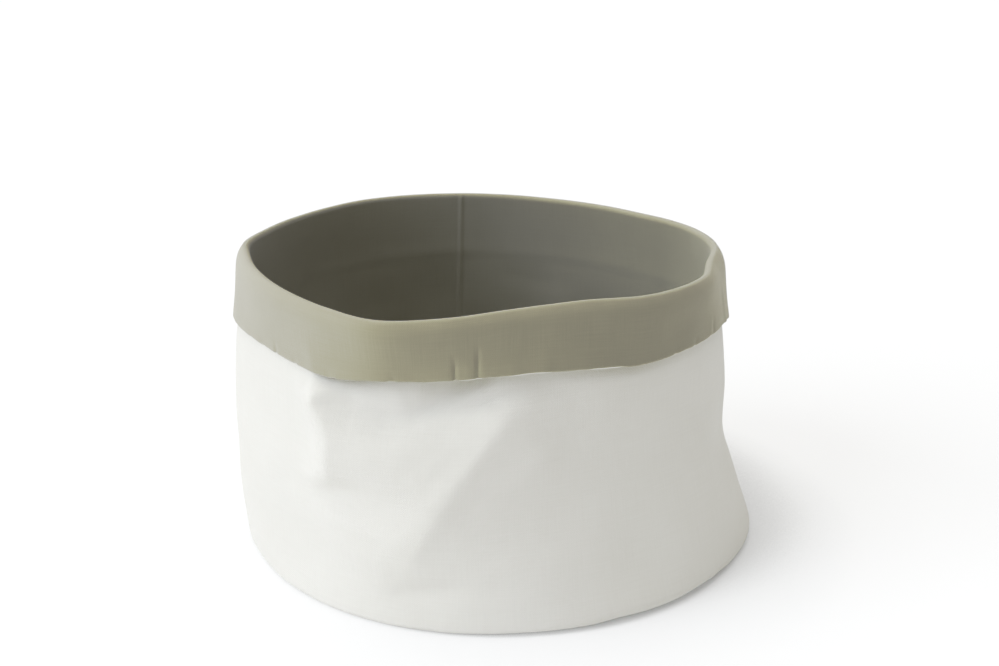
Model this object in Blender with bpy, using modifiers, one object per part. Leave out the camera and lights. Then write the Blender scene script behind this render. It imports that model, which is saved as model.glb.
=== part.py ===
"""Round canvas basket bag with a sage lining, its top folded out into a cuff.

Metres, +Z up, standing on z = 0. Four pieces: the outer canvas wall, the
outer canvas base disc, the lining wall and the lining base disc. Both walls
run up the side, over the soft fold at the rim and down the cuff to the hem.
"""

import math

import bpy
import numpy as np

# ---------------------------------------------------------------- sizes (mm)
MM = 0.001
CANVAS = 1.2  # thickness of the outer cloth
LINING = 1.0  # thickness of the lining cloth
PLY_GAP = 0.42  # air between canvas and lining
FOLD_RADIUS = 1.75  # canvas mid line around the rim fold
ROLL = 2.6  # extra fullness of the cuff just under the fold
ROLL_AT = 0.2  # where along the cuff it is fullest
CURL_RADIUS = 5.0  # canvas mid line where the wall turns under at the foot
TURN_UNDER = 7.0  # flat allowance inside the curl, butting the base disc
SEAM_GAP = 0.4  # between a base disc and its wall
CENTRE = (2.53, 1.81)  # moves the base circle so that the origin is mid box

STEP = CANVAS / 2 + PLY_GAP + LINING / 2  # canvas mid to lining mid
TOP_SKIN = CANVAS / 2 + PLY_GAP + LINING  # canvas mid to the lining's outer face

# One row per direction, azimuth from +X, front at 270. Radii are of the canvas
# mid line from the centre of the base, at five heights up the wall and at the
# rim; rim_z is the top of the rim, cuff how far the hem hangs below it, and
# stand how far the hem stands off the wall beyond the thickness of the fold.
SECTIONS = (
    # az, foot, calf, knee, waist, neck, rim, rim_z, cuff, stand
    (180, 222.0, 225.0, 226.0, 225.0, 220.5, 212.8, 249.4, 58.4, -1.2),
    (191, 221.0, 225.0, 226.0, 225.0, 220.3, 209.2, 250.0, 55.5, -1.6),
    (204, 218.5, 222.5, 223.0, 221.0, 218.0, 209.5, 250.0, 52.5, -1.6),
    (222, 219.5, 215.0, 217.8, 215.9, 216.3, 215.0, 249.5, 52.2, -0.6),
    (236, 221.0, 216.0, 214.6, 214.3, 217.6, 220.8, 247.3, 51.9, 2.4),
    (247, 221.5, 220.2, 214.8, 214.2, 214.8, 224.0, 245.5, 46.3, 3.2),
    (258, 221.5, 220.4, 215.2, 209.3, 206.1, 214.0, 247.0, 46.2, 3.8),
    (272, 221.5, 219.0, 208.5, 202.5, 198.2, 199.8, 250.8, 47.8, 4.0),
    (288, 221.0, 211.0, 201.8, 195.1, 193.0, 192.3, 252.9, 51.0, 3.5),
    (303, 220.0, 206.6, 198.1, 191.2, 191.4, 193.8, 250.5, 52.0, 3.0),
    (316, 219.0, 209.8, 199.1, 191.0, 191.3, 193.3, 250.0, 50.0, 3.0),
    (327, 218.0, 210.6, 200.8, 191.6, 190.4, 188.8, 249.5, 48.5, 3.0),
    (340, 219.5, 208.5, 194.5, 192.0, 188.5, 178.8, 250.0, 51.5, 2.0),
    (354, 221.0, 208.0, 194.5, 193.0, 187.5, 179.0, 250.5, 59.0, 0.6),
    (372, 220.0, 208.0, 194.0, 190.0, 184.0, 174.3, 251.0, 57.0, 1.5),
    (400, 219.0, 212.0, 201.0, 192.0, 181.0, 168.3, 250.0, 58.0, 2.0),
    (428, 218.0, 215.0, 208.0, 199.0, 188.0, 176.3, 249.5, 58.0, 2.0),
    (458, 218.0, 217.0, 213.0, 208.0, 202.0, 194.3, 250.5, 58.0, 2.5),
    (488, 219.0, 219.0, 218.0, 215.0, 212.0, 208.3, 250.5, 60.0, 2.0),
    (512, 221.0, 222.0, 222.0, 221.0, 217.5, 211.3, 248.0, 59.5, 1.5),
    (525, 221.5, 223.5, 225.0, 224.5, 219.5, 212.0, 247.4, 59.4, 0.8),
)
FOOT, CALF, KNEE, WAIST, NECK, RIM, RIM_Z, CUFF, STAND = range(1, 10)
HEIGHTS = (0.0, 0.17, 0.34, 0.55, 0.78, 1.0)  # foot .. rim, share of the wall

# One row per fold in the wall: a bent line from start over bend to end, each
# (azimuth, z), the rise at its crest (negative for a trough), how far it
# reaches on its left and right looking from start to end, the rounding of the
# crest, and the share of its length over which each end tapers off.
UNROLL = 210.0  # radius at which azimuth is counted as a length along the wall
FOLDS = (
    # start, bend, end, rise, left, right, soft, tip
    ((283, 203), (254, 117), (245, 31), 12.0, 86, 190, 4.8, 0.25),
    ((236, 206), (236, 155), (236, 97), 12.4, 41, 38, 3.0, 0.22),
    ((238, 161), (262, 175), (277, 200), -5.0, 20, 20, 4.8, 0.30),
    ((252, 198), (260, 186), (272, 196), -2.6, 14, 17, 3.6, 0.40),
    ((211, 96), (232, 94), (255, 85), -2.0, 24, 31, 4.2, 0.30),
    ((246, 20), (253, 35), (268, 47), -1.9, 16, 16, 2.8, 0.35),
    ((231, 148), (243, 148), (262, 139), 2.2, 17, 23, 4.4, 0.40),
    ((240, 150), (245, 128), (252, 108), 2.0, 24, 26, 7.5, 0.40),
    ((292, 185), (286, 160), (278, 140), -0.8, 14, 14, 4.0, 0.40),
    ((269, 110), (279, 138), (290, 164), 1.0, 15, 9, 3.0, 0.35),
    ((345, 82), (343, 58), (342, 32), -0.3, 10, 10, 3.0, 0.40),
    ((20, 184), (36, 110), (44, 30), 6.0, 48, 40, 8.0, 0.35),
    ((74, 190), (66, 120), (70, 40), -4.0, 36, 36, 9.0, 0.35),
    ((112, 192), (98, 118), (84, 34), 5.5, 46, 52, 8.0, 0.35),
    ((150, 176), (140, 96), (144, 24), -3.5, 38, 38, 10.0, 0.35),
    ((140, 140), (158, 84), (174, 40), 3.0, 34, 34, 12.0, 0.35),
)
FOLD_STEPS = 16

# The wall is drawn in just under the hem: azimuth, depth, how far below the
# hem it reaches, and how full the hollow is there (1 for a straight slope).
TUCK = (
    (180, 0.0, 8.0, 1.0),
    (222, 0.0, 8.0, 1.0),
    (231.2, 0.4, 28.0, 1.3),
    (234.2, 7.4, 32.0, 1.6),
    (240, 11.5, 42.0, 1.7),
    (249.8, 10.4, 42.0, 1.6),
    (253.4, 11.2, 36.0, 1.9),
    (257, 13.8, 27.0, 2.3),
    (262, 13.6, 18.5, 2.2),
    (266, 8.0, 13.0, 2.0),
    (270, 1.4, 9.0, 1.5),
    (276, 0.8, 8.5, 1.0),
    (284, 2.4, 9.0, 1.0),
    (300, 3.6, 9.0, 1.0),
    (318, 1.8, 9.0, 1.0),
    (336, 0.6, 7.5, 1.0),
    (360, 0.4, 7.5, 1.0),
    (420, 0.8, 7.5, 1.0),
    (480, 0.8, 7.5, 1.0),
    (525, 0.2, 7.5, 1.0),
    (540, 0.0, 7.5, 1.0),
)
TUCK_ABOVE = 9.0  # how far it reaches above the hem

# Where the mesh lines run: directions, closer together on the front half,
# and the profile as (stretch, share along that stretch).
FRONT_LINES = 32  # azimuth 180 to 360
BACK_LINES = 24  # azimuth 0 to 180
PROFILE = (
    ("under", 0.0),
    ("curl", 0.0),
    ("curl", 0.5),
    ("wall", 0.0),
    ("wall", 0.1),
    ("wall", 0.22),
    ("wall", 0.34),
    ("wall", 0.46),
    ("wall", 0.58),
    ("wall", 0.68),
    ("wall", 0.77),
    ("wall", 0.86),
    ("wall", 1.0),
    ("fold", 0.25),
    ("fold", 0.5),
    ("fold", 0.75),
    ("cuff", 0.0),
    ("cuff", 0.14),
    ("cuff", 0.38),
    ("cuff", 0.7),
    ("cuff", 1.0),
)


def smooth(x):
    """0 to 1 with level ends."""
    x = np.clip(x, 0.0, 1.0)
    return x * x * (3.0 - 2.0 * x)


def blend(t, h, y0, y1, m0, m1):
    """Cubic from y0 to y1 over the length h with end slopes m0 and m1."""
    return (
        (2 * t**3 - 3 * t**2 + 1) * y0
        + (t**3 - 2 * t**2 + t) * h * m0
        + (3 * t**2 - 2 * t**3) * y1
        + (t**3 - t**2) * h * m1
    )


def around(az, column):
    """One column of the section table at each azimuth, smooth all the way round."""
    rows = np.array(SECTIONS, float)
    at = np.concatenate([rows[-2:, 0] - 360, rows[:, 0], rows[:3, 0] + 360])
    value = np.concatenate([rows[-2:, column], rows[:, column], rows[:3, column]])
    slope = np.gradient(value, at)
    az = np.mod(az - 180.0, 360.0) + 180.0
    i = np.clip(np.searchsorted(at, az, side="right") - 1, 0, len(at) - 2)
    h = at[i + 1] - at[i]
    return blend((az - at[i]) / h, h, value[i], value[i + 1], slope[i], slope[i + 1])


def wall_radius(az, share):
    """Radius of the wall at each azimuth (rows) and share of its height (columns)."""
    cols = np.array([around(az, c) for c in (FOOT, CALF, KNEE, WAIST, NECK, RIM)])
    at = np.array(HEIGHTS)
    slope = np.gradient(cols, at, axis=0)
    share = np.broadcast_to(share, (len(az), np.shape(share)[-1]))
    i = np.clip(np.searchsorted(at, share, side="right") - 1, 0, len(at) - 2)
    h = at[i + 1] - at[i]
    row = np.arange(len(az))[:, None]
    return blend(
        (share - at[i]) / h,
        h,
        cols[i, row],
        cols[i + 1, row],
        slope[i, row],
        slope[i + 1, row],
    )


def fold_height(az, z):
    """Rise of the wall from the fold table, at azimuth and height arrays."""
    az, z = np.broadcast_arrays(az, z)
    total = np.zeros(az.shape)
    t = np.linspace(0.0, 1.0, FOLD_STEPS + 1)[:, None]
    for start, bend, end, rise, left, right, soft, tip in FOLDS:
        u = np.radians(np.mod(az - bend[0] + 180.0, 360.0) - 180.0) * UNROLL
        v = z - bend[1]
        p0 = np.array([math.radians(start[0] - bend[0]) * UNROLL, start[1] - bend[1]])
        p2 = np.array([math.radians(end[0] - bend[0]) * UNROLL, end[1] - bend[1]])
        path = (1 - t) ** 2 * p0 + t**2 * p2
        best = np.full(az.shape, 1e9)
        along = np.zeros(az.shape)
        side = np.ones(az.shape)
        for k in range(FOLD_STEPS):
            run = path[k + 1] - path[k]
            du, dv = u - path[k, 0], v - path[k, 1]
            share = np.clip((du * run[0] + dv * run[1]) / (run @ run), 0.0, 1.0)
            du, dv = du - share * run[0], dv - share * run[1]
            far = du * du + dv * dv
            nearer = far < best
            best = np.where(nearer, far, best)
            along = np.where(nearer, (k + share) / FOLD_STEPS, along)
            side = np.where(nearer, dv * run[0] - du * run[1], side)
        width = np.where(side > 0, left, right)
        reach = (np.sqrt(best + soft * soft) - soft) / width
        tips = smooth(along / tip) * smooth((1.0 - along) / tip)
        total += rise * np.clip(1.0 - reach, 0.0, 1.0) ** 1.6 * tips
    return total


def tuck(az, above_hem):
    """How far the wall is drawn in under the hem, at heights from the hem."""
    at, depth, below, full = np.array(TUCK, float).T
    az = np.mod(az - 180.0, 360.0) + 180.0
    above = np.exp(-((above_hem / TUCK_ABOVE) ** 2))
    drop = 1.0 + above_hem / np.interp(az, at, below)
    drop = np.clip(0.5 * (drop + np.sqrt(drop * drop + 0.012)) / 1.003, 0.0, 1.0)
    drop = 1.0 - (1.0 - drop) ** np.interp(az, at, full)
    return np.interp(az, at, depth) * np.where(above_hem > 0, above, drop)


def mid_surface(az, profile):
    """Radius and height of the canvas mid surface, azimuths by profile points."""
    foot_z = CANVAS / 2 + CURL_RADIUS
    top_z = around(az, RIM_Z) - TOP_SKIN - FOLD_RADIUS
    tall = (top_z - foot_z)[:, None]
    hem_z = (around(az, RIM_Z) - around(az, CUFF))[:, None]
    cuff_drop = (around(az, CUFF) - TOP_SKIN - FOLD_RADIUS)[:, None]
    stand = around(az, STAND)[:, None]

    def wall(share):
        return wall_radius(az, share), foot_z + share * tall

    def outward(share):
        ra, za = wall(share - 0.01)
        rb, zb = wall(share + 0.0)
        size = np.hypot(rb - ra, zb - za)
        return (zb - za) / size, (ra - rb) / size

    one = np.ones((len(az), 1))
    foot_r = wall_radius(az, 0.0 * one)
    out_r, out_z = outward(one)
    top_r, top_h = wall(one)
    radius = np.empty((len(az), len(profile)))
    height = np.empty_like(radius)
    for k, (stretch, share) in enumerate(profile):
        if stretch == "under":
            r = foot_r - CURL_RADIUS - TURN_UNDER * (1.0 - share)
            z = CANVAS / 2 * one
        elif stretch == "curl":
            turn = share * math.pi / 2
            r = foot_r - CURL_RADIUS * (1.0 - math.sin(turn))
            z = (foot_z - CURL_RADIUS * math.cos(turn)) * one
        elif stretch == "wall":
            r, z = wall(share * one)
            fade = smooth((z - 8.0) / 22.0) * smooth((206.0 - z) / 26.0)
            r = r + fold_height(az[:, None], z) * fade
            r = r - tuck(az[:, None], z - hem_z + 1.0)
        elif stretch == "fold":
            turn = share * math.pi
            side = FOLD_RADIUS * (1.0 - math.cos(turn))
            rise = FOLD_RADIUS * math.sin(turn)
            r = top_r + side * out_r - rise * out_z
            z = top_h + side * out_z + rise * out_r
        else:
            at = 1.0 - share * cuff_drop / tall
            r, z = wall(at)
            nr, nz = outward(at)
            off = 2 * FOLD_RADIUS + stand * smooth(0.15 + 0.85 * share) * share
            off = off + ROLL * share / ROLL_AT * math.exp(1.0 - share / ROLL_AT)
            r = r + off * nr
            z = z + off * nz
        radius[:, k] = r[:, 0]
        height[:, k] = z[:, 0]
    return radius, height


def points_of(az, radius, height):
    """Grid of points in mm about the origin."""
    a = np.radians(az)[:, None]
    x = radius * np.cos(a) + CENTRE[0]
    y = radius * np.sin(a) + CENTRE[1]
    return np.stack([x, y, height], axis=-1)


def parallel(grid, distance):
    """The grid moved to its lining side, keeping the distance between facets."""
    east = np.roll(grid, -1, axis=0)
    face = np.cross(
        (grid - east)[:, :-1] + (grid - east)[:, 1:],
        (grid[:, 1:] - grid[:, :-1]) + (east[:, 1:] - east[:, :-1]),
    )
    face /= np.linalg.norm(face, axis=-1)[..., None]
    face = np.concatenate([face[:, :1], face, face[:, -1:]], axis=1)
    west = np.roll(face, 1, axis=0)
    four = np.stack([face[:, :-1], face[:, 1:], west[:, :-1], west[:, 1:]])
    normal = four.sum(axis=0)
    normal /= np.linalg.norm(normal, axis=-1)[..., None]
    lean = (four * normal).sum(axis=-1).min(axis=0)
    return grid + normal * (distance / np.clip(lean, 0.7, 1.0))[..., None]


def fabric(name, colour):
    mat = bpy.data.materials.new(name)
    mat.use_nodes = True
    shader = mat.node_tree.nodes["Principled BSDF"]
    shader.inputs["Base Color"].default_value = (*colour, 1.0)
    shader.inputs["Roughness"].default_value = 0.9
    mat.diffuse_color = (*colour, 1.0)
    return mat


def sheet(name, grid, thickness, mat, home):
    """A closed ring of cloth: the grid as an open surface, thickened evenly."""
    n, m = grid.shape[:2]
    faces = []
    for i in range(n):
        j = (i + 1) % n
        for k in range(m - 1):
            faces.append((i * m + k, i * m + k + 1, j * m + k + 1, j * m + k))
    mesh = bpy.data.meshes.new(name)
    mesh.from_pydata((grid.reshape(-1, 3) * MM).tolist(), [], faces)
    mesh.materials.append(mat)
    obj = bpy.data.objects.new(name, mesh)
    home.objects.link(obj)
    skin = obj.modifiers.new("thickness", "SOLIDIFY")
    skin.thickness = thickness * MM
    skin.offset = 0.0
    skin.use_even_offset = True
    skin.use_rim = True
    return obj


def disc(name, outline, middle, thickness, mat, home):
    """A flat round of cloth: a filled outline with half its thickness each way."""
    curve = bpy.data.curves.new(name, "CURVE")
    curve.dimensions = "2D"
    curve.fill_mode = "BOTH"
    curve.extrude = thickness * MM / 2
    line = curve.splines.new("POLY")
    line.points.add(len(outline) - 1)
    for point, (x, y) in zip(line.points, outline):
        point.co = (x * MM, y * MM, 0.0, 1.0)
    line.use_cyclic_u = True
    curve.materials.append(mat)
    obj = bpy.data.objects.new(name, curve)
    obj.location = (0.0, 0.0, middle * MM)
    home.objects.link(obj)
    return obj


def main():
    for obj in list(bpy.data.objects):
        bpy.data.objects.remove(obj, do_unlink=True)
    home = bpy.data.collections.new("linen_bread_bag")
    bpy.context.scene.collection.children.link(home)

    canvas = fabric("canvas_off_white", (0.80, 0.79, 0.75))
    sage = fabric("lining_sage", (0.41, 0.40, 0.33))

    front = 180.0 + np.arange(FRONT_LINES) * 180.0 / FRONT_LINES
    back = 360.0 + np.arange(BACK_LINES) * 180.0 / BACK_LINES
    az = np.concatenate([front, back])
    radius, height = mid_surface(az, PROFILE)
    wall = points_of(az, radius, height)
    inner = parallel(wall, STEP)

    sheet("canvas_wall", wall, CANVAS, canvas, home)
    sheet("lining_wall", inner, LINING, sage, home)
    edge = points_of(az, radius[:, :1] - SEAM_GAP, height[:, :1])[:, 0, :2]
    disc("canvas_base", edge, CANVAS / 2, CANVAS, canvas, home)
    disc("lining_base", edge, CANVAS / 2 + STEP, LINING, sage, home)


main()
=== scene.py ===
"""Looks of the round canvas bag: fine cloth over the CAD solids, woven
materials, seams, a pale floor, soft light and the camera.

The cloth is one mid surface, the outer canvas, drawn by the same section and
fold tables as the solids but on a much finer grid, with the lining laid
parallel to it on its inner side. Metres in the scene, millimetres in the
tables.
"""

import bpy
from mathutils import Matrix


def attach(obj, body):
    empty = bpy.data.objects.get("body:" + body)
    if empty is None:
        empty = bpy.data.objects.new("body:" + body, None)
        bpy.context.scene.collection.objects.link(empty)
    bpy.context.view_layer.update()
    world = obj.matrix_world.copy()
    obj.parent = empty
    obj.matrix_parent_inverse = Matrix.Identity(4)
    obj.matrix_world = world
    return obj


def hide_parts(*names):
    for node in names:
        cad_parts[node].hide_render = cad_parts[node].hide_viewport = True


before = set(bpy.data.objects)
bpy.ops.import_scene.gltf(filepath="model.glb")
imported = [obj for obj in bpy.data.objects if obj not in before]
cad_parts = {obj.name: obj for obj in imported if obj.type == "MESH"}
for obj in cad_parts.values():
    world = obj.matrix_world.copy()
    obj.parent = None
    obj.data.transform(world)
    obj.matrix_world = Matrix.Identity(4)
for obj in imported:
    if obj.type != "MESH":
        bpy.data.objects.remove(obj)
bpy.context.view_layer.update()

import math  # noqa: E402

import bpy  # noqa: E402
import numpy as np  # noqa: E402

# ------------------------------------------------------------- sizes (mm)
MM = 0.001
CANVAS = 1.2  # thickness of the outer cloth
LINING = 1.0  # thickness of the lining cloth
PLY_GAP = 0.42  # air between canvas and lining
FOLD_RADIUS = 1.75  # canvas mid line around the rim fold
ROLL = 2.6  # extra fullness of the cuff just under the fold
ROLL_AT = 0.2  # where along the cuff it is fullest
CURL_RADIUS = 5.0  # canvas mid line where the wall turns under at the foot
TURN_UNDER = 7.0  # flat allowance inside the curl, butting the base disc
SEAM_GAP = 0.4  # between a base disc and its wall
CENTRE = (2.53, 1.81)  # centre of the base from the origin
HEM_TURN = 1.8  # the lining reaches this much past the canvas at the hem

STEP = CANVAS / 2 + PLY_GAP + LINING / 2  # canvas mid to lining mid
TOP_SKIN = CANVAS / 2 + PLY_GAP + LINING  # canvas mid to the lining's outer face

# The solids' sections: azimuth from +X, front at 270, radii of the canvas mid
# line at five heights and the rim, rim height, cuff drop and hem stand-off.
SECTIONS = (
    # az, foot, calf, knee, waist, neck, rim, rim_z, cuff, stand
    (180, 222.0, 225.0, 226.0, 225.0, 220.5, 212.8, 249.4, 58.4, -1.2),
    (191, 221.0, 225.0, 226.0, 225.0, 220.3, 209.2, 250.0, 55.5, -1.6),
    (204, 218.5, 222.5, 223.0, 221.0, 218.0, 209.5, 250.0, 52.5, -1.6),
    (222, 219.5, 215.0, 217.8, 215.9, 216.3, 215.0, 249.5, 52.2, -0.6),
    (236, 221.0, 216.0, 214.6, 214.3, 217.6, 220.8, 247.3, 51.9, 2.4),
    (247, 221.5, 220.2, 214.8, 214.2, 214.8, 224.0, 245.5, 46.3, 3.2),
    (258, 221.5, 220.4, 215.2, 209.3, 206.1, 214.0, 247.0, 46.2, 3.8),
    (272, 221.5, 219.0, 208.5, 202.5, 198.2, 199.8, 250.8, 47.8, 4.0),
    (288, 221.0, 211.0, 201.8, 195.1, 193.0, 192.3, 252.9, 51.0, 3.5),
    (303, 220.0, 206.6, 198.1, 191.2, 191.4, 193.8, 250.5, 52.0, 3.0),
    (316, 219.0, 209.8, 199.1, 191.0, 191.3, 193.3, 250.0, 50.0, 3.0),
    (327, 218.0, 210.6, 200.8, 191.6, 190.4, 188.8, 249.5, 48.5, 3.0),
    (340, 219.5, 208.5, 194.5, 192.0, 188.5, 178.8, 250.0, 51.5, 2.0),
    (354, 221.0, 208.0, 194.5, 193.0, 187.5, 179.0, 250.5, 59.0, 0.6),
    (372, 220.0, 208.0, 194.0, 190.0, 184.0, 174.3, 251.0, 57.0, 1.5),
    (400, 219.0, 212.0, 201.0, 192.0, 181.0, 168.3, 250.0, 58.0, 2.0),
    (428, 218.0, 215.0, 208.0, 199.0, 188.0, 176.3, 249.5, 58.0, 2.0),
    (458, 218.0, 217.0, 213.0, 208.0, 202.0, 194.3, 250.5, 58.0, 2.5),
    (488, 219.0, 219.0, 218.0, 215.0, 212.0, 208.3, 250.5, 60.0, 2.0),
    (512, 221.0, 222.0, 222.0, 221.0, 217.5, 211.3, 248.0, 59.5, 1.5),
    (525, 221.5, 223.5, 225.0, 224.5, 219.5, 212.0, 247.4, 59.4, 0.8),
)
FOOT, CALF, KNEE, WAIST, NECK, RIM, RIM_Z, CUFF, STAND = range(1, 10)
HEIGHTS = (0.0, 0.17, 0.34, 0.55, 0.78, 1.0)  # foot .. rim, share of the wall

# The main folds: a bent line from start over bend to end, each (azimuth, z),
# the rise at its crest (negative for a trough), how far it reaches on its left
# and right looking from start to end, the rounding of the crest, and the share
# of its length over which each end tapers off.
UNROLL = 210.0  # radius at which azimuth is counted as a length along the wall
FOLDS = (
    # start, bend, end, rise, left, right, soft, tip
    ((283, 203), (254, 117), (245, 31), 12.0, 86, 190, 4.8, 0.25),
    ((236, 206), (236, 155), (236, 97), 12.4, 41, 38, 3.0, 0.22),
    ((238, 161), (262, 175), (277, 200), -5.0, 20, 20, 4.8, 0.30),
    ((252, 198), (260, 186), (272, 196), -2.6, 14, 17, 3.6, 0.40),
    ((211, 96), (232, 94), (255, 85), -2.0, 24, 31, 4.2, 0.30),
    ((246, 20), (253, 35), (268, 47), -1.9, 16, 16, 2.8, 0.35),
    ((231, 148), (243, 148), (262, 139), 2.2, 17, 23, 4.4, 0.40),
    ((240, 150), (245, 128), (252, 108), 2.0, 24, 26, 7.5, 0.40),
    ((292, 185), (286, 160), (278, 140), -0.8, 14, 14, 4.0, 0.40),
    ((269, 110), (279, 138), (290, 164), 1.0, 15, 9, 3.0, 0.35),
    ((345, 82), (343, 58), (342, 32), -0.3, 10, 10, 3.0, 0.40),
    ((20, 184), (36, 110), (44, 30), 6.0, 48, 40, 8.0, 0.35),
    ((74, 190), (66, 120), (70, 40), -4.0, 36, 36, 9.0, 0.35),
    ((112, 192), (98, 118), (84, 34), 5.5, 46, 52, 8.0, 0.35),
    ((150, 176), (140, 96), (144, 24), -3.5, 38, 38, 10.0, 0.35),
    ((140, 140), (158, 84), (174, 40), 3.0, 34, 34, 12.0, 0.35),
)
FOLD_STEPS = 16

# The crest on the left of the front wanders sideways: height, azimuth to the left.
SWAY = (
    (0, 6.5),
    (92, 6.5),
    (101, 5.2),
    (110, 1.6),
    (118, -0.7),
    (150, -0.9),
    (163, 0.6),
    (175, 2.5),
    (186, 1.8),
    (200, 0.6),
)
SWAY_AT = 234.0

# Finer creases of the wall, in the same columns.
CREASES = (
    # start, bend, end, rise, left, right, soft, tip
    ((276, 193), (259, 118), (251, 40), 1.8, 17, 15, 1.8, 0.25),
    ((239, 202), (230, 151), (234, 101), 3.2, 13, 14, 2.0, 0.22),
    ((232, 196), (230, 186), (232, 174), -2.8, 10, 12, 2.6, 0.40),
    ((238, 82), (247, 80), (255, 70), 0.9, 9, 9, 2.2, 0.40),
    ((222, 70), (236, 60), (246, 30), 0.3, 30, 30, 8.0, 0.40),
    ((249, 201), (252, 184), (254, 166), -0.6, 30, 6, 2.4, 0.35),
    ((250, 166), (261, 177), (275, 190), -2.4, 22, 5, 1.8, 0.35),
    ((233, 193), (232, 180), (234, 166), -1.4, 6, 9, 2.2, 0.35),
    ((235, 150), (235, 130), (234, 112), 1.0, 10, 6, 2.2, 0.35),
    ((247, 38), (260, 38), (276, 41), -1.4, 8, 16, 2.2, 0.35),
    ((269, 176), (258, 140), (248, 104), 0.5, 15, 6, 2.2, 0.30),
    ((12, 148), (20, 122), (38, 110), -1.6, 18, 18, 4.0, 0.4),
    ((52, 66), (64, 50), (82, 50), 1.2, 16, 16, 4.0, 0.4),
    ((116, 138), (128, 118), (142, 122), -1.6, 18, 18, 4.0, 0.4),
    ((158, 182), (166, 150), (162, 118), 1.2, 22, 22, 5.0, 0.4),
    ((2, 90), (10, 66), (8, 36), 1.0, 20, 20, 5.0, 0.4),
    ((92, 176), (82, 160), (64, 158), 1.2, 14, 18, 3.5, 0.4),
    ((176, 96), (190, 80), (204, 82), -0.6, 20, 20, 6.0, 0.4),
)

# The wall is drawn in just under the hem: azimuth, depth, how far below the
# hem it reaches, and how full the hollow is there (1 for a straight slope).
TUCK = (
    (180, 0.0, 8.0, 1.0),
    (222, 0.0, 8.0, 1.0),
    (231.2, 0.4, 28.0, 1.3),
    (234.2, 7.4, 32.0, 1.6),
    (240, 11.5, 42.0, 1.7),
    (249.8, 10.4, 42.0, 1.6),
    (253.4, 11.2, 36.0, 1.9),
    (257, 13.8, 27.0, 2.3),
    (262, 13.6, 18.5, 2.2),
    (266, 8.0, 13.0, 2.0),
    (270, 1.4, 9.0, 1.5),
    (276, 0.8, 8.5, 1.0),
    (284, 2.4, 9.0, 1.0),
    (300, 3.6, 9.0, 1.0),
    (318, 1.8, 9.0, 1.0),
    (336, 0.6, 7.5, 1.0),
    (360, 0.4, 7.5, 1.0),
    (420, 0.8, 7.5, 1.0),
    (480, 0.8, 7.5, 1.0),
    (525, 0.2, 7.5, 1.0),
    (540, 0.0, 7.5, 1.0),
)
TUCK_ABOVE = 9.0  # how far it reaches above the hem

# The turned edge of the foot stands a little off the ground: azimuth, height.
FOOT_LIFT = (
    (180, 0.4),
    (225, 0.0),
    (250, 0.3),
    (258, 0.9),
    (268, 1.5),
    (280, 2.6),
    (292, 3.2),
    (325, 3.0),
    (345, 1.8),
    (380, 0.5),
    (430, 0.8),
    (500, 0.4),
    (540, 0.4),
)
LIFT_REACH = 30.0  # up the wall, this is how far the lift fades away

# Where the lining edge stands off the canvas at the hem, and where the canvas
# edge peeps out under it: from, to azimuth.
GAPE = ((254.0, 302.0), (400.0, 420.0), (484.0, 499.0))
GAPE_OUT = 0.5
PEEP = ((258.6, 269.6), (269.0, 283.4), (286.0, 299.6), (403.0, 417.0), (486.0, 497.0))
PEEP_OUT = 2.6
FLARE = 0.5  # and its very edge bends outwards by this much

# Creases that run down the cuff: azimuth at the fold and at the hem, the
# shares of the cuff where each starts and is fullest, rise and half width.
CUFF_CREASES = (
    # az_top, az_hem, start, full, rise, width
    (219.6, 219.6, 0.80, 1.00, -1.2, 2.4),
    (213.5, 213.5, 0.88, 1.00, -0.6, 2.4),
    (226.5, 226.5, 0.88, 1.00, -0.6, 2.6),
    (231.0, 232.5, 0.35, 0.80, 0.6, 14.0),
    (236.5, 236.5, 0.85, 1.00, -0.6, 3.0),
    (250.0, 250.0, 0.84, 1.00, -0.5, 2.6),
    (261.0, 261.4, 0.50, 0.90, -1.5, 2.5),
    (263.6, 263.7, 0.50, 0.95, 0.35, 6.0),
    (265.7, 265.7, 0.34, 0.80, -1.6, 2.5),
    (272.6, 272.6, 0.60, 0.95, 0.5, 6.0),
    (279.4, 279.4, 0.40, 0.90, 0.6, 8.0),
    (290.0, 288.0, 0.55, 1.00, 0.4, 10.0),
    (312.0, 312.0, 0.85, 1.00, -0.7, 3.0),
    (319.0, 319.0, 0.82, 1.00, -0.7, 3.4),
    (329.0, 328.0, 0.60, 0.95, -1.0, 4.0),
    (341.0, 340.0, 0.10, 0.70, 1.1, 10.0),
    (20.0, 22.0, 0.50, 1.00, -0.8, 6.0),
    (48.0, 46.0, 0.70, 1.00, -0.6, 4.0),
    (78.0, 79.0, 0.30, 0.90, 0.8, 14.0),
    (118.0, 118.0, 0.75, 1.00, -0.7, 4.0),
    (140.0, 142.0, 0.55, 1.00, -0.7, 7.0),
    (166.0, 165.0, 0.80, 1.00, -0.6, 3.6),
)
NOTCHES = (
    (207.0, 0.5),
    (213.5, 0.7),
    (219.6, 1.7),
    (226.5, 0.8),
    (237.5, 0.7),
    (249.2, 0.7),
    (261.6, 0.5),
    (312.0, 0.4),
    (319.0, 0.5),
    (326.5, 1.2),
)
SEAM_AZ = 101.0  # the upright side seam, at the back
SEAM_DEPTH = 0.45  # how far the seam line lies in
SEAM_HALF = 1.5  # and over what half width


# ---------------------------------------------------------------- geometry
def smooth(x):
    """0 to 1 with level ends."""
    x = np.clip(x, 0.0, 1.0)
    return x * x * (3.0 - 2.0 * x)


def blend(t, h, y0, y1, m0, m1):
    """Cubic from y0 to y1 over the length h with end slopes m0 and m1."""
    return (
        (2 * t**3 - 3 * t**2 + 1) * y0
        + (t**3 - 2 * t**2 + t) * h * m0
        + (3 * t**2 - 2 * t**3) * y1
        + (t**3 - t**2) * h * m1
    )


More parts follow.
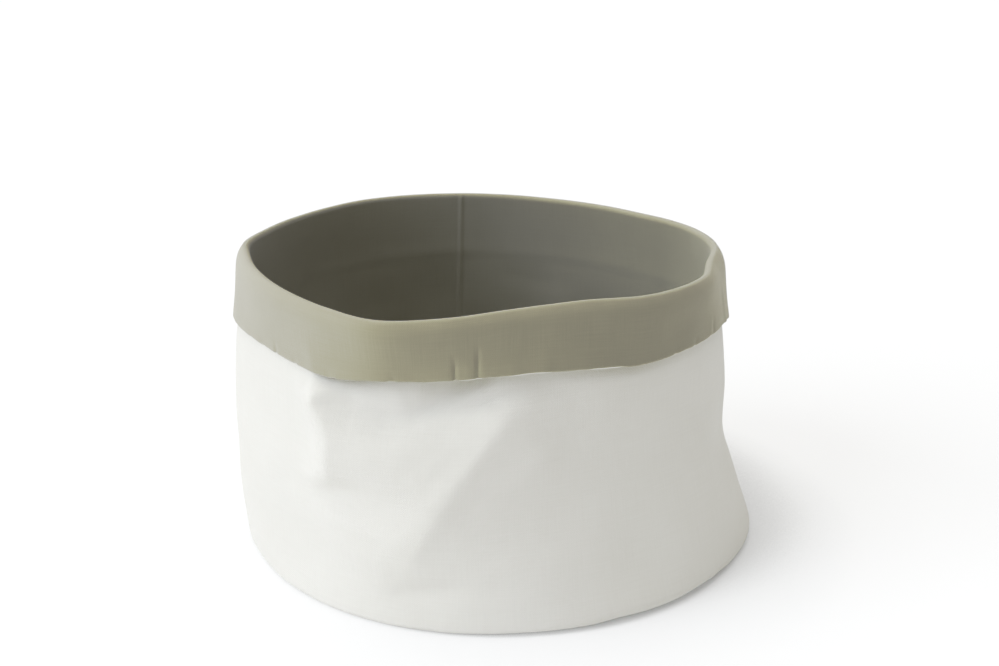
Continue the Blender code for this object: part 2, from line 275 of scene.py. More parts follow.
def around(az, column):
    """One column of the section table at each azimuth, smooth all the way round."""
    rows = np.array(SECTIONS, float)
    at = np.concatenate([rows[-2:, 0] - 360, rows[:, 0], rows[:3, 0] + 360])
    value = np.concatenate([rows[-2:, column], rows[:, column], rows[:3, column]])
    slope = np.gradient(value, at)
    az = np.mod(az - 180.0, 360.0) + 180.0
    i = np.clip(np.searchsorted(at, az, side="right") - 1, 0, len(at) - 2)
    h = at[i + 1] - at[i]
    return blend((az - at[i]) / h, h, value[i], value[i + 1], slope[i], slope[i + 1])


def wall_radius(az, share):
    """Radius of the wall at each azimuth (rows) and share of its height (columns)."""
    cols = np.array([around(az, c) for c in (FOOT, CALF, KNEE, WAIST, NECK, RIM)])
    at = np.array(HEIGHTS)
    slope = np.gradient(cols, at, axis=0)
    share = np.broadcast_to(share, (len(az), np.shape(share)[-1]))
    i = np.clip(np.searchsorted(at, share, side="right") - 1, 0, len(at) - 2)
    h = at[i + 1] - at[i]
    row = np.arange(len(az))[:, None]
    return blend(
        (share - at[i]) / h,
        h,
        cols[i, row],
        cols[i + 1, row],
        slope[i, row],
        slope[i + 1, row],
    )


def fold_height(az, z, table):
    """Rise of the wall from a fold table, at azimuth and height arrays."""
    az, z = np.broadcast_arrays(az, z)
    total = np.zeros(az.shape)
    t = np.linspace(0.0, 1.0, FOLD_STEPS + 1)[:, None]
    for start, bend, end, rise, left, right, soft, tip in table:
        u = np.radians(np.mod(az - bend[0] + 180.0, 360.0) - 180.0) * UNROLL
        v = z - bend[1]
        p0 = np.array([math.radians(start[0] - bend[0]) * UNROLL, start[1] - bend[1]])
        p2 = np.array([math.radians(end[0] - bend[0]) * UNROLL, end[1] - bend[1]])
        path = (1 - t) ** 2 * p0 + t**2 * p2
        best = np.full(az.shape, 1e9)
        along = np.zeros(az.shape)
        side = np.ones(az.shape)
        for k in range(FOLD_STEPS):
            run = path[k + 1] - path[k]
            du, dv = u - path[k, 0], v - path[k, 1]
            share = np.clip((du * run[0] + dv * run[1]) / (run @ run), 0.0, 1.0)
            du, dv = du - share * run[0], dv - share * run[1]
            far = du * du + dv * dv
            nearer = far < best
            best = np.where(nearer, far, best)
            along = np.where(nearer, (k + share) / FOLD_STEPS, along)
            side = np.where(nearer, dv * run[0] - du * run[1], side)
        width = np.where(side > 0, left, right)
        reach = (np.sqrt(best + soft * soft) - soft) / width
        tips = smooth(along / tip) * smooth((1.0 - along) / tip)
        total += rise * np.clip(1.0 - reach, 0.0, 1.0) ** 1.6 * tips
    return total


def sway(az, z):
    """Sideways wandering of the left front crest, in degrees."""
    at, left = np.array(SWAY, float).T
    return np.interp(z, at, left) * np.exp(-(((az - SWAY_AT) / 10.0) ** 2))


def lumps(az, s, around_count, length, seed):
    """Smooth unevenness from -1 to 1 that closes round the bag; s in mm."""
    rng = np.random.RandomState(seed)
    table = rng.uniform(-1.0, 1.0, (around_count, 64))
    a = np.mod(az, 360.0) / 360.0 * around_count
    b = s / length + 7.3
    i, j = np.floor(a).astype(int), np.floor(b).astype(int)
    fa, fb = smooth(a - i), smooth(b - j)
    i0, i1 = i % around_count, (i + 1) % around_count
    j0, j1 = j % 64, (j + 1) % 64
    low = table[i0, j0] * (1 - fa) + table[i1, j0] * fa
    high = table[i0, j1] * (1 - fa) + table[i1, j1] * fa
    return low * (1 - fb) + high * fb


def wall_detail(az, z):
    """Soft unevenness and small creases of the wall, in mm."""
    az, z = np.broadcast_arrays(az, z)
    shear = az + z * 0.06  # the unevenness leans a little with the folds
    back = 0.25 + 0.75 * smooth((np.cos(np.radians(az - 82.0)) + 0.35) / 0.7)
    d = 0.9 * lumps(shear, z, 15, 84.0, 3) * back
    d += 0.4 * lumps(az - z * 0.05, z, 37, 38.0, 11) * back
    d += 0.08 * lumps(shear, z, 92, 17.0, 23)
    d += 0.03 * lumps(az, z, 230, 7.0, 29)
    ridged = 1.0 - np.abs(lumps(shear, z, 22, 46.0, 41))
    d += 0.5 * (ridged**3 - 0.35) * back
    return d


def seam_dip(az):
    """The upright seam: a fine line that lies in, with cloth a little full beside it."""
    off = np.mod(az - SEAM_AZ + 180.0, 360.0) - 180.0
    d = np.abs(np.radians(off)) * UNROLL
    return -SEAM_DEPTH * np.exp(-((d / SEAM_HALF) ** 2)) + 0.35 * np.exp(
        -(((d - 4.5) / 3.2) ** 2)
    )


def notches(az):
    """Small nicks where the hem lifts, in mm."""
    d = np.zeros(az.shape)
    for at, rise in NOTCHES:
        off = np.radians(np.mod(az - at + 180.0, 360.0) - 180.0) * UNROLL
        d -= rise * np.exp(-((off / 1.9) ** 2))
    return d


def tuck(az, above_hem):
    """How far the wall is drawn in under the hem, at heights from the hem."""
    at, depth, below, full = np.array(TUCK, float).T
    az = np.mod(az - 180.0, 360.0) + 180.0
    above = np.exp(-((above_hem / TUCK_ABOVE) ** 2))
    drop = 1.0 + above_hem / np.interp(az, at, below)
    drop = np.clip(0.5 * (drop + np.sqrt(drop * drop + 0.012)) / 1.003, 0.0, 1.0)
    drop = 1.0 - (1.0 - drop) ** np.interp(az, at, full)
    return np.interp(az, at, depth) * np.where(above_hem > 0, above, drop)


def foot_lift(az):
    """How far the turned edge of the foot stands off the ground, in mm."""
    at, lift = np.array(FOOT_LIFT, float).T
    return np.interp(np.mod(az - 180.0, 360.0) + 180.0, at, lift)


def within(az, spans, ramp):
    """1 inside the given spans of azimuth and 0 outside, with soft ends."""
    az = np.mod(az - 180.0, 360.0) + 180.0
    inside = np.zeros(az.shape)
    for first, last in spans:
        inside = np.maximum(inside, smooth((az - first) / ramp) * smooth((last - az) / ramp))
    return inside


def cuff_detail(az, share, drop):
    """Soft unevenness and the creases of the cuff, in mm."""
    az, share = np.broadcast_arrays(az, share)
    d = 0.5 * lumps(az, share * drop, 19, 30.0, 51)
    d += 0.24 * lumps(az, share * drop, 60, 18.0, 57)
    edge = smooth((share - 0.7) / 0.3)
    d += edge * (0.35 * lumps(az, 0 * az, 44, 10.0, 61) + 0.2 * lumps(az, 0 * az, 118, 10.0, 67))
    for top, hem, start, full, rise, width in CUFF_CREASES:
        at = top + (hem - top) * share
        off = np.mod(az - at + 180.0, 360.0) - 180.0
        reach = (np.sqrt((np.radians(off) * UNROLL) ** 2 + 0.36) - 0.6) / width
        d += rise * np.clip(1 - reach, 0, 1) ** 2 * smooth((share - start) / (full - start))
    return d


def mid_surface(az, profile, fine=True, retreat=0.0):
    """Radius and height of the canvas mid surface, azimuths by profile points.

    retreat shortens the cuff at each azimuth.
    """
    foot_z = CANVAS / 2 + CURL_RADIUS
    top_z = around(az, RIM_Z) - TOP_SKIN - FOLD_RADIUS
    tall = (top_z - foot_z)[:, None]
    hem_z = (around(az, RIM_Z) - around(az, CUFF))[:, None]
    cuff_drop = (around(az, CUFF) - TOP_SKIN - FOLD_RADIUS - retreat)[:, None]
    stand = around(az, STAND)[:, None]
    a = az[:, None]

    def wall(share):
        return wall_radius(az, share), foot_z + share * tall

    def outward(share):
        ra, za = wall(share - 0.01)
        rb, zb = wall(share + 0.0)
        size = np.hypot(rb - ra, zb - za)
        return (zb - za) / size, (ra - rb) / size

    one = np.ones((len(az), 1))
    top_wave = foot_wave = hem_wave = 0.0 * one
    if fine:
        top_wave = 0.5 * lumps(a, 0 * a, 17, 10.0, 71) + 0.2 * lumps(a, 0 * a, 47, 10.0, 73)
        foot_wave = 0.45 * lumps(a, 0 * a, 40, 10.0, 81) + 0.28 * lumps(a, 0 * a, 104, 10.0, 83)
        hem_wave = 0.55 * lumps(a, 0 * a, 29, 10.0, 91) + 0.35 * lumps(a, 0 * a, 83, 10.0, 93)
        hem_wave += 0.32 * lumps(a, 0 * a, 187, 10.0, 97) + notches(a)
    foot_r = wall_radius(az, 0.0 * one)
    lift = foot_lift(a)
    if fine:
        lift = lift * (1.0 + 0.45 * lumps(a, 0 * a, 50, 10.0, 87))
    out_r, out_z = outward(one)
    top_r, top_h = wall(one)
    top_h = top_h + top_wave
    radius = np.empty((len(az), len(profile)))
    height = np.empty_like(radius)
    for k, (stretch, share) in enumerate(profile):
        if stretch == "under":
            r = foot_r - CURL_RADIUS - TURN_UNDER * (1.0 - share)
            z = CANVAS / 2 + lift * smooth(share)
        elif stretch == "curl":
            turn = share * math.pi / 2
            r = foot_r - CURL_RADIUS * (1.0 - math.sin(turn))
            z = foot_z - CURL_RADIUS * math.cos(turn) + lift
            r = r + foot_wave * smooth(share * 1.0)
        elif stretch == "wall":
            r, z = wall(share * one)
            z = z + lift * (1.0 - smooth((z - foot_z) / LIFT_REACH))
            z = z + top_wave * smooth((share - 0.7) / 0.3)
            fade = smooth((z - 8.0) / 22.0) * smooth((206.0 - z) / 26.0)
            r = r + fold_height(a + sway(a, z) * fine, z, FOLDS) * fade
            if fine:
                r = r + fold_height(a + sway(a, z), z, CREASES) * fade
                under = smooth((z - 5.0) / 40.0) * (0.35 + 0.65 * smooth((205.0 - z) / 30.0))
                r = r + wall_detail(a, z) * under * smooth((244.0 - z) / 20.0)
                r = r + seam_dip(a) * smooth((z - 6.0) / 8.0)
                r = r + foot_wave * (1.0 - smooth((z - 6.0) / 22.0))
            r = r - tuck(a, z - hem_z + 1.0)
        elif stretch == "fold":
            turn = share * math.pi
            side = FOLD_RADIUS * (1.0 - math.cos(turn))
            rise = FOLD_RADIUS * math.sin(turn)
            r = top_r + side * out_r - rise * out_z
            z = top_h + side * out_z + rise * out_r
            if fine:
                r = r + seam_dip(a) * math.cos(turn)
        else:
            at = 1.0 - share * (cuff_drop + hem_wave * smooth((share - 0.5) / 0.5)) / tall
            r, z = wall(at)
            z = z + top_wave * smooth((at - 0.7) / 0.3)
            nr, nz = outward(at)
            off = 2 * FOLD_RADIUS + stand * smooth(0.15 + 0.85 * share) * share
            off = off + ROLL * share / ROLL_AT * math.exp(1.0 - share / ROLL_AT)
            if fine:
                rough = cuff_detail(a, share * one, cuff_drop)
                off = off + rough * smooth(share / 0.25) - seam_dip(a)
                off = np.maximum(off, 1.75)
            r = r + off * nr
            z = z + off * nz
        radius[:, k] = r[:, 0]
        height[:, k] = z[:, 0]
    return radius, height


def points_of(az, radius, height):
    """Grid of points in mm about the origin."""
    a = np.radians(az)[:, None]
    x = radius * np.cos(a) + CENTRE[0]
    y = radius * np.sin(a) + CENTRE[1]
    return np.stack([x, y, height], axis=-1)


def normals_of(grid):
    """Unit normals towards the lining side and how far the worst facet leans from each."""
    east = np.roll(grid, -1, axis=0)
    face = np.cross(
        (grid - east)[:, :-1] + (grid - east)[:, 1:],
        (grid[:, 1:] - grid[:, :-1]) + (east[:, 1:] - east[:, :-1]),
    )
    face /= np.linalg.norm(face, axis=-1)[..., None]
    face = np.concatenate([face[:, :1], face, face[:, -1:]], axis=1)
    west = np.roll(face, 1, axis=0)
    four = np.stack([face[:, :-1], face[:, 1:], west[:, :-1], west[:, 1:]])
    normal = four.sum(axis=0)
    normal /= np.linalg.norm(normal, axis=-1)[..., None]
    lean = (four * normal).sum(axis=-1).min(axis=0)
    return normal, np.clip(lean, 0.8, 1.0)


def parallel(grid, distance):
    normal, lean = normals_of(grid)
    return grid + normal * (distance / lean)[..., None]


# ------------------------------------------------------------------ meshes
def spread(name, count, first=0.0, last=1.0):
    """count profile points along one stretch, first and last included."""
    return [(name, float(s)) for s in np.linspace(first, last, count)]


SPACING = (  # from this azimuth on, a direction every so many degrees
    (180, 1.1),
    (216, 0.6),
    (224, 0.9),
    (231, 0.65),
    (239, 0.9),
    (248, 0.42),
    (268, 0.95),
    (308, 0.62),
    (330, 1.0),
    (360, 1.21),
)


def directions():
    """Azimuths, closest where the front has its small folds and beside the seam."""
    ends = [first for first, _ in SPACING[1:]] + [540]
    az = []
    for (first, step), last in zip(SPACING, ends):
        az.append(np.linspace(first, last, round((last - first) / step), endpoint=False))
    az = np.concatenate(az)
    az = az[np.abs(az - 360.0 - SEAM_AZ) > 1.9]
    seam = SEAM_AZ + np.array([-1.6, -1.1, -0.75, -0.45, -0.2, 0, 0.2, 0.45, 0.75, 1.1, 1.6])
    return np.sort(np.concatenate([az, 360.0 + seam]))


PROFILE = (
    spread("under", 3, 0.0, 0.72)
    + spread("curl", 7, 0.0, 0.86)
    + spread("wall", 70)
    + spread("fold", 8, 0.1, 0.76)
    + [("cuff", 0.02), ("cuff", 0.045), ("cuff", 0.075), ("cuff", 0.11)]
    + spread("cuff", 21, 0.15, 0.9)
    + spread("cuff", 5, 0.92, 1.0)
)


def shell(name, mid, half, extra=None, rounds=3):
    """A closed ring of cloth about a mid grid, its two free edges rounded.

    The profile runs along one face, round the edge, back along the other face
    and round the first edge. Its uv map holds the length round the bag and
    the length along the profile, in metres.
    """
    normal, lean = normals_of(mid)
    n, m = mid.shape[:2]
    one_side = mid + normal * (half / lean)[..., None]
    other = mid - normal * (half / lean)[..., None]

    def edge(at, before):
        out = mid[:, at] - mid[:, before]
        out /= np.linalg.norm(out, axis=-1)[:, None]
        turns = np.linspace(0.0, math.pi, rounds + 2)[1:-1]
        return [
            mid[:, at] + half * (math.cos(t) * normal[:, at] + math.sin(t) * out)
            for t in turns
        ]

    loop = np.concatenate(
        [
            one_side,
            np.stack(edge(-1, -2), axis=1),
            other[:, ::-1],
            np.stack(edge(0, 1), axis=1)[:, ::-1],
        ],
        axis=1,
    )
    size = loop.shape[1]
    step = np.linalg.norm(np.diff(mid, axis=1), axis=-1).mean(axis=0)
    run = np.concatenate([[0.0], np.cumsum(step)])
    v = np.concatenate(
        [run, np.full(rounds, run[-1]), run[::-1], np.full(rounds, run[0])]
    )
    u = np.radians(AZ - 180.0) * UNROLL
    i = np.arange(n)[:, None]
    j = np.arange(size)[None, :]
    ni, nj = (i + 1) % n, (j + 1) % size
    quads = np.stack(
        [i * size + j, i * size + nj, ni * size + nj, ni * size + j], axis=-1
    ).reshape(-1, 4)
    mesh = bpy.data.meshes.new(name)
    mesh.from_pydata((loop.reshape(-1, 3) * MM).tolist(), [], quads.tolist())
    uv_u = np.broadcast_to(u[:, None], (n, size))
    u_next = np.concatenate([u[1:], [u[0] + 2 * math.pi * UNROLL]])
    uv_n = np.broadcast_to(u_next[:, None], (n, size))
    vj = np.broadcast_to(v[None, :], (n, size))
    v_next = np.broadcast_to(np.roll(v, -1)[None, :], (n, size))
    uv = np.stack(
        [
            np.stack([uv_u, vj], -1),
            np.stack([uv_u, v_next], -1),
            np.stack([uv_n, v_next], -1),
            np.stack([uv_n, vj], -1),
        ],
        axis=2,
    ).reshape(-1)
    layer = mesh.uv_layers.new(name="weave")
    layer.data.foreach_set("uv", (uv * MM).astype(np.float32))
    mesh.polygons.foreach_set("use_smooth", [True] * len(quads))
    mesh.update()
    obj = bpy.data.objects.new(name, mesh)
    bpy.context.scene.collection.objects.link(obj)
    return obj


def round_sheet(name, edge, middle, half, swell, rounds=3):
    """A round of cloth: rings from the edge to the centre, closed and rim-rounded."""
    centre = np.array([CENTRE[0], CENTRE[1]])
    shares = np.concatenate([np.linspace(1.0, 0.9, 6)[:-1], np.linspace(0.9, 0.03, 34)])
    n = len(edge)

    def face(sign):
        rings = []
        for s in shares:
            xy = centre + (edge - centre) * s
            z = middle + swell(xy, s) + sign * half
            rings.append(np.concatenate([xy, z[:, None]], axis=1))
        return rings

    top, bottom = face(1.0), face(-1.0)
    out = (edge - centre) / np.linalg.norm(edge - centre, axis=1)[:, None]
    rim = []
    for t in np.linspace(0.0, math.pi, rounds + 2)[1:-1]:
        xy = edge + out * half * 0.6 * math.sin(t)
        z = middle + swell(edge, 1.0) + half * math.cos(t)
        rim.append(np.concatenate([xy, z[:, None]], axis=1))
    rings = top[::-1] + rim + bottom
    points = np.concatenate(rings)
    size = len(rings)
    i = np.arange(size - 1)[:, None] * n
    j = np.arange(n)[None, :]
    nj = (j + 1) % n
    quads = np.stack([i + j, i + n + j, i + n + nj, i + nj], axis=-1).reshape(-1, 4)
    hubs = []
    for sign in (1.0, -1.0):
        z = middle + swell(centre[None, :], 0.0)[0] + sign * half
        hubs.append([centre[0], centre[1], z])
    points = np.concatenate([points, np.array(hubs)])
    hub, last = size * n, (size - 1) * n
    faces = quads.tolist()
    faces += [[k, (k + 1) % n, hub] for k in range(n)]
    faces += [[last + (k + 1) % n, last + k, hub + 1] for k in range(n)]
    mesh = bpy.data.meshes.new(name)
    mesh.from_pydata((points * MM).tolist(), [], faces)
    layer = mesh.uv_layers.new(name="weave")
    loops = np.empty(len(mesh.loops), np.int32)
    mesh.loops.foreach_get("vertex_index", loops)
    layer.data.foreach_set("uv", (points[loops, :2] * MM).astype(np.float32).reshape(-1))
    mesh.polygons.foreach_set("use_smooth", [True] * len(faces))
    mesh.update()
    obj = bpy.data.objects.new(name, mesh)
    bpy.context.scene.collection.objects.link(obj)
    return obj


AZ = directions()
gape = within(AZ, GAPE, 6.0)
shown = within(AZ, PEEP, 4.4) * (0.8 + 0.2 * lumps(AZ, 0 * AZ, 96, 10.0, 113))
radius, height = mid_surface(
    AZ, PROFILE, retreat=HEM_TURN * (1.0 - gape) + 0.8 * PEEP_OUT * gape * (1.0 - shown)
)
from_edge = np.hypot(radius - radius[:, -1:], height - height[:, -1:])
flare = np.exp(-((from_edge / 1.7) ** 2)) - 0.2 * np.exp(-(((from_edge - 4.0) / 2.0) ** 2))
flare[:, [stretch != "cuff" for stretch, _ in PROFILE]] = 0.0
radius = radius + FLARE * flare * (gape * shown)[:, None]
wall_mid = points_of(AZ, radius, height)

# The lining goes on past the canvas hem and turns round it, or stops short of
# the canvas edge where it stands off that.
short = mid_surface(AZ, PROFILE, retreat=HEM_TURN * (1.0 - gape) + PEEP_OUT * gape)
short = points_of(AZ, *short)
along = np.array([share if stretch == "cuff" else 0.0 for stretch, share in PROFILE])
lift = GAPE_OUT * gape[:, None] * smooth((along - 0.72) / 0.28)[None, :]
lining_mid = parallel(short, STEP + lift)
wall_normal, _ = normals_of(short)
hem_run = short[:, -1] - short[:, -2]
hem_run /= np.linalg.norm(hem_run, axis=-1)[:, None]
close = 1.0 - smooth((around(AZ, STAND) + 1.0) / 2.0)  # where the hem lies on the wall
turned = []
for t in np.radians([22, 44, 66, 88, 110, 128]):
    turn = (t * (1.0 - 0.4 * gape) * (1.0 - 0.22 * close))[:, None]
    bow = np.cos(turn) * wall_normal[:, -1] + np.sin(turn) * hem_run
    turned.append(short[:, -1] + lift[:, -1:] * wall_normal[:, -1] + STEP * bow)
lining_mid = np.concatenate([lining_mid, np.stack(turned, axis=1)], axis=1)

canvas_wall = shell("cloth_canvas_wall", wall_mid, CANVAS / 2)
lining_wall = shell("cloth_lining_wall", lining_mid, LINING / 2)

inner_edge = points_of(AZ, radius[:, :1] - SEAM_GAP, height[:, :1])[:, 0, :2]


def flat(xy, share):
    return np.zeros(len(xy))


def settled(xy, share):
    """The bottom of the lining lies nearly flat, with soft low waves."""
    x, y = xy[:, 0], xy[:, 1]
    wave = (
        np.sin(x / 41.0 + 0.8 + y / 63.0)
        + 0.7 * np.sin(y / 33.0 - x / 78.0 + 2.1)
        + 0.4 * np.sin(x / 19.0 - y / 23.0 + 0.4)
    )
    return 0.75 * (0.5 + 0.3 * wave) * smooth((1.0 - share) / 0.22) * (
        1.0 - 0.3 * share
    )


canvas_base = round_sheet("cloth_canvas_base", inner_edge, CANVAS / 2, CANVAS / 2, flat)
lining_base = round_sheet(
    "cloth_lining_base", inner_edge, CANVAS / 2 + STEP, LINING / 2, settled
)


# --------------------------------------------------------------- materials
class Web:
    """A short hand for building a node tree."""

    def __init__(self, name):
        self.mat = bpy.data.materials.new(name)
        self.mat.use_nodes = True
        self.tree = self.mat.node_tree
        self.shader = self.tree.nodes["Principled BSDF"]

    def node(self, kind, **settings):
        made = self.tree.nodes.new(kind)
        for key, value in settings.items():
            setattr(made, key, value)
        return made

    def link(self, out, into):
        self.tree.links.new(out, into)

    def math(self, operation, a, b=None, c=None):
        made = self.node("ShaderNodeMath", operation=operation)
        for slot, value in enumerate((a, b, c)):
            if value is None:
                continue
            if isinstance(value, (int, float)):
                made.inputs[slot].default_value = value
            else:
                self.link(value, made.inputs[slot])
        return made.outputs[0]

    def noise(self, vector, scale, detail=2.0, rough=0.5):
        made = self.node("ShaderNodeTexNoise")
        made.inputs["Scale"].default_value = scale
        made.inputs["Detail"].default_value = detail
        made.inputs["Roughness"].default_value = rough
        self.link(vector, made.inputs["Vector"])
        return made.outputs["Fac"]

    def stretch(self, vector, x, y, z=1.0):
        made = self.node("ShaderNodeMapping")
        made.inputs["Scale"].default_value = (x, y, z)
        self.link(vector, made.inputs["Vector"])
        return made.outputs["Vector"]


def woven(name, dark, mid, pale, pitch, depth, sheen, nap, gloss, matt, slub):
    """Plain weave: threads over and under, slubs along both, soft tone changes."""
    web = Web(name)
    uv = web.node("ShaderNodeUVMap", uv_map="weave").outputs["UV"]
    place = web.node("ShaderNodeTexCoord").outputs["Object"]
    # threads wander a little from straight
    drift = web.noise(web.stretch(uv, 60.0, 60.0), 1.0, 1.0)
    drift = web.math("MULTIPLY", web.math("SUBTRACT", drift, 0.5), 1.6)
    parts = web.node("ShaderNodeSeparateXYZ")
    web.link(uv, parts.inputs[0])
    u = web.math("ADD", web.math("MULTIPLY", parts.outputs[0], 1.0 / pitch), drift)
    v = web.math("ADD", web.math("MULTIPLY", parts.outputs[1], 1.0 / pitch), drift)

    def threads(across, along, odd):
        """Round threads side by side across, rising and falling along."""
        count = web.math("FLOOR", across)
        round_ = web.math("SINE", web.math("MULTIPLY", web.math("FRACT", across), math.pi))
        turn = web.math("ADD", web.math("ADD", along, count), odd)
        wave = web.math("COSINE", web.math("MULTIPLY", turn, math.pi))
        rise = web.math("MULTIPLY_ADD", wave, 0.5, 0.5)
        return web.math("MULTIPLY", round_, rise)

    warp = threads(u, v, 0.0)
    weft = threads(v, u, 1.0)
    weave = web.math("MAXIMUM", warp, weft)
    # thick and thin places that run along single threads
    slub_u = web.noise(web.stretch(uv, 0.8 / pitch, 26.0), 1.0, 2.0)
    slub_v = web.noise(web.stretch(uv, 26.0, 0.8 / pitch), 1.0, 2.0)
    slubs = web.math("ADD", slub_u, slub_v)
    slubs = web.math("SUBTRACT", slubs, 1.0)
    height_ = web.math("MULTIPLY_ADD", slubs, slub, weave)

    bump = web.node("ShaderNodeBump")
    bump.inputs["Strength"].default_value = 0.55
    bump.inputs["Distance"].default_value = depth
    web.link(height_, bump.inputs["Height"])
    web.link(bump.outputs["Normal"], web.shader.inputs["Normal"])

    # colour: thread crowns pale, gaps dark, slubs and broad soft patches
    patch = web.noise(place, 9.0, 3.0, 0.55)
    tone = web.math("MULTIPLY_ADD", weave, 0.24, 0.33)
    tone = web.math("MULTIPLY_ADD", slubs, 0.28, tone)
    tone = web.math("MULTIPLY_ADD", web.math("SUBTRACT", patch, 0.5), 0.5, tone)
    ramp = web.node("ShaderNodeValToRGB")
    ramp.color_ramp.elements[0].position = 0.0
    ramp.color_ramp.elements[0].color = (*dark, 1.0)
    ramp.color_ramp.elements[1].position = 1.0
    ramp.color_ramp.elements[1].color = (*pale, 1.0)
    centre = ramp.color_ramp.elements.new(0.5)
    centre.color = (*mid, 1.0)
    web.link(tone, ramp.inputs["Fac"])
    web.link(ramp.outputs["Color"], web.shader.inputs["Base Color"])

    rough = web.math("MULTIPLY_ADD", slubs, 0.08, matt)
    rough = web.math("MULTIPLY_ADD", weave, -0.06, rough)
    web.link(rough, web.shader.inputs["Roughness"])
    web.shader.inputs["Specular IOR Level"].default_value = gloss
    web.shader.inputs["Sheen Weight"].default_value = sheen
    web.shader.inputs["Sheen Roughness"].default_value = nap
    web.shader.inputs["Sheen Tint"].default_value = (1.0, 1.0, 1.0, 1.0)
    return web.mat


canvas = woven(
    "off_white_canvas",
    dark=(0.597, 0.583, 0.532),
    mid=(0.678, 0.670, 0.624),
    pale=(0.737, 0.729, 0.688),
    pitch=0.00085,
    depth=0.00022,
    sheen=0.10,
    nap=0.5,
    gloss=0.25,
    matt=0.88,
    slub=0.6,
)
sage = woven(
    "sage_lining",
    dark=(0.229, 0.217, 0.162),
    mid=(0.286, 0.272, 0.208),
    pale=(0.341, 0.330, 0.264),
    pitch=0.00062,
    depth=0.00014,
    sheen=0.40,
    nap=0.6,
    gloss=0.06,
    matt=0.95,
    slub=0.5,
)
for obj, mat in (
    (canvas_wall, canvas),
    (canvas_base, canvas),
    (lining_wall, sage),
    (lining_base, sage),
):
    obj.data.materials.append(mat)

# ------------------------------------------------------------------- stage
FLOOR_SIZE = 60.0
mesh = bpy.data.meshes.new("floor")
s = FLOOR_SIZE / 2
mesh.from_pydata([(-s, -s, 0), (s, -s, 0), (s, s, 0), (-s, s, 0)], [], [(0, 1, 2, 3)])
floor = bpy.data.objects.new("floor", mesh)
bpy.context.scene.collection.objects.link(floor)
floor.location = (0.0, 0.0, -0.0002)
paper = bpy.data.materials.new("pale_floor")
paper.use_nodes = True
skin = paper.node_tree.nodes["Principled BSDF"]
skin.inputs["Base Color"].default_value = (0.495, 0.50, 0.507, 1.0)
skin.inputs["Emission Color"].default_value = (1.0, 1.0, 1.0, 1.0)
# Part of its light is painted: the floor glows, standing in for a bright wall far to the left,
# and the glow is dimmed on the ground beside what stands on the floor, a painted shadow.
painted_shadow_ao = paper.node_tree.nodes.new("ShaderNodeAmbientOcclusion")
painted_shadow_ao.samples = 4
painted_shadow_ao.inputs["Distance"].default_value = 0.10
left = paper.node_tree.nodes.new("ShaderNodeCombineXYZ")
for axis, share in zip("XYZ", (-0.90, -0.38, 0.20)):
    left.inputs[axis].default_value = share
paper.node_tree.links.new(left.outputs["Vector"], painted_shadow_ao.inputs["Normal"])
# the occlusion sets the glow's strength: full in the open, low beside the bag, painting its
# shadow
reach = paper.node_tree.nodes.new("ShaderNodeMapRange")
reach.interpolation_type = "SMOOTHSTEP"
reach.inputs["From Min"].default_value = 0.52
reach.inputs["From Max"].default_value = 0.83
reach.inputs["To Min"].default_value = 0.14
reach.inputs["To Max"].default_value = 0.48
paper.node_tree.links.new(painted_shadow_ao.outputs["AO"], reach.inputs["Value"])
paper.node_tree.links.new(reach.outputs["Result"], skin.inputs["Emission Strength"])
skin.inputs["Roughness"].default_value = 0.95
skin.inputs["Specular IOR Level"].default_value = 0.0
mesh.materials.append(paper)

# A white room: as bright as the floor at the horizon, dimmer overhead.
world = bpy.data.worlds.new("soft_room")
world.use_nodes = True
tree = world.node_tree
sky = tree.nodes["Background"]
where = tree.nodes.new("ShaderNodeTexCoord")
split = tree.nodes.new("ShaderNodeSeparateXYZ")
tree.links.new(where.outputs["Generated"], split.inputs[0])
ramp = tree.nodes.new("ShaderNodeValToRGB")
ramp.color_ramp.interpolation = "EASE"
ramp.color_ramp.elements[0].position = 0.0
ramp.color_ramp.elements[0].color = (1.076, 1.05, 1.002, 1.0)
ramp.color_ramp.elements[1].position = 0.14
ramp.color_ramp.elements[1].color = (0.308, 0.30, 0.286, 1.0)
tree.links.new(split.outputs[2], ramp.inputs["Fac"])
tree.links.new(ramp.outputs["Color"], sky.inputs["Color"])
sky.inputs["Strength"].default_value = 0.939
bpy.context.scene.world = world


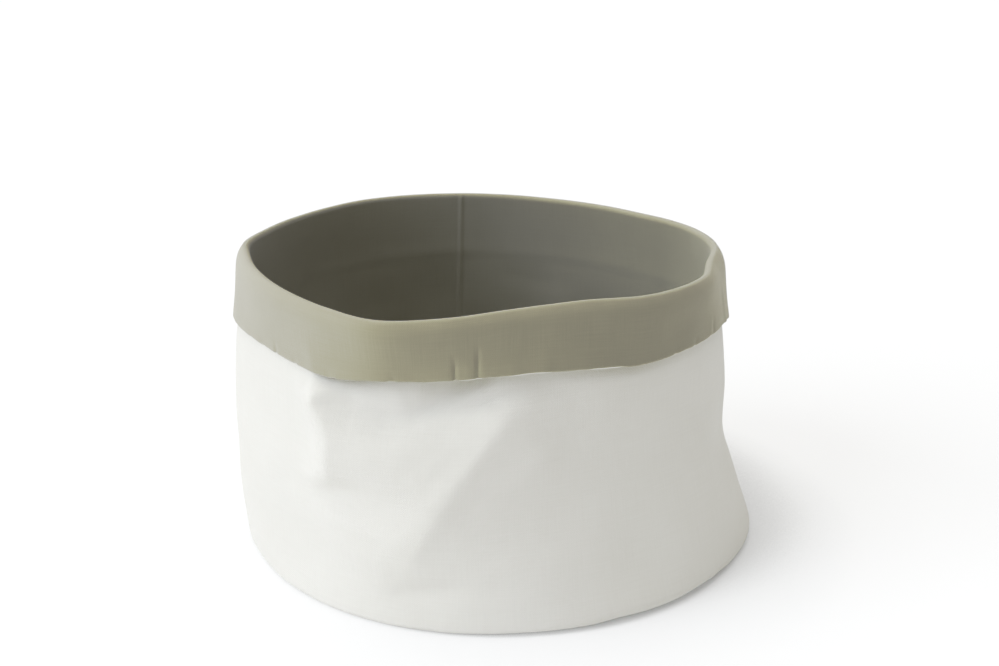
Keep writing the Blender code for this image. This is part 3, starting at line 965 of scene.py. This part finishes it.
def sun(name, towards, strength, spread_, colour=(1.0, 1.0, 1.0)):
    """A broad far light that comes from the given direction."""
    from mathutils import Vector

    lamp = bpy.data.lights.new(name, "SUN")
    lamp.energy = strength
    lamp.angle = math.radians(spread_)
    lamp.color = colour
    obj = bpy.data.objects.new(name, lamp)
    obj.rotation_mode = "QUATERNION"
    obj.rotation_quaternion = Vector(towards).to_track_quat("Z", "Y")
    obj.location = Vector(towards).normalized() * 3.0
    bpy.context.scene.collection.objects.link(obj)
    return obj


sun("side", (-0.76, -0.40, 0.48), 0.557 * math.pi, 46.0, (0.946, 1.0, 1.083))
sun("top", (-0.10, 0.12, 1.0), 0.585 * math.pi, 70.0, (1.011, 1.0, 0.956))
sun("low", (-0.892, -0.157, 0.423), 0.125 * math.pi, 40.0, (0.997, 1.0, 1.007))

# ------------------------------------------------------------------ camera
lens = bpy.data.cameras.new("camera")
lens.sensor_width = 36.0
lens.lens = 36.0 * 1400.0 / 999.0
lens.clip_start, lens.clip_end = 0.01, 50.0
camera = bpy.data.objects.new("camera", lens)
camera.location = (CENTRE[0] * MM, -1.15104 + CENTRE[1] * MM, 0.53663)
camera.rotation_euler = (math.radians(90.0 - 17.7), 0.0, 0.0)
bpy.context.scene.collection.objects.link(camera)
bpy.context.scene.camera = camera

# The tone of a photographic print: a soft toe and a soft shoulder.
print_ = bpy.context.scene.view_settings
print_.view_transform = "Standard"
print_.use_curve_mapping = True
WHITE = 1.05
TONES = ((0.08, 0.0825), (0.2, 0.1787), (0.4, 0.4627), (0.7, 0.7321), (0.9, 0.893))
print_.curve_mapping.white_level = (WHITE, WHITE, WHITE)
line = print_.curve_mapping.curves[3]
for tone, level in TONES:
    line.points.new(tone / WHITE, level)
print_.curve_mapping.update()

# ------------------------------------------------------------ attach and hide the solids
for obj, slot in (
    (canvas_wall, "canvas"),
    (canvas_base, "canvas"),
    (lining_wall, "lining"),
    (lining_base, "lining"),
):
    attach(obj, "root")
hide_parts("canvas_wall")
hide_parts("canvas_base")
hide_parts("lining_wall")
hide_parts("lining_base")
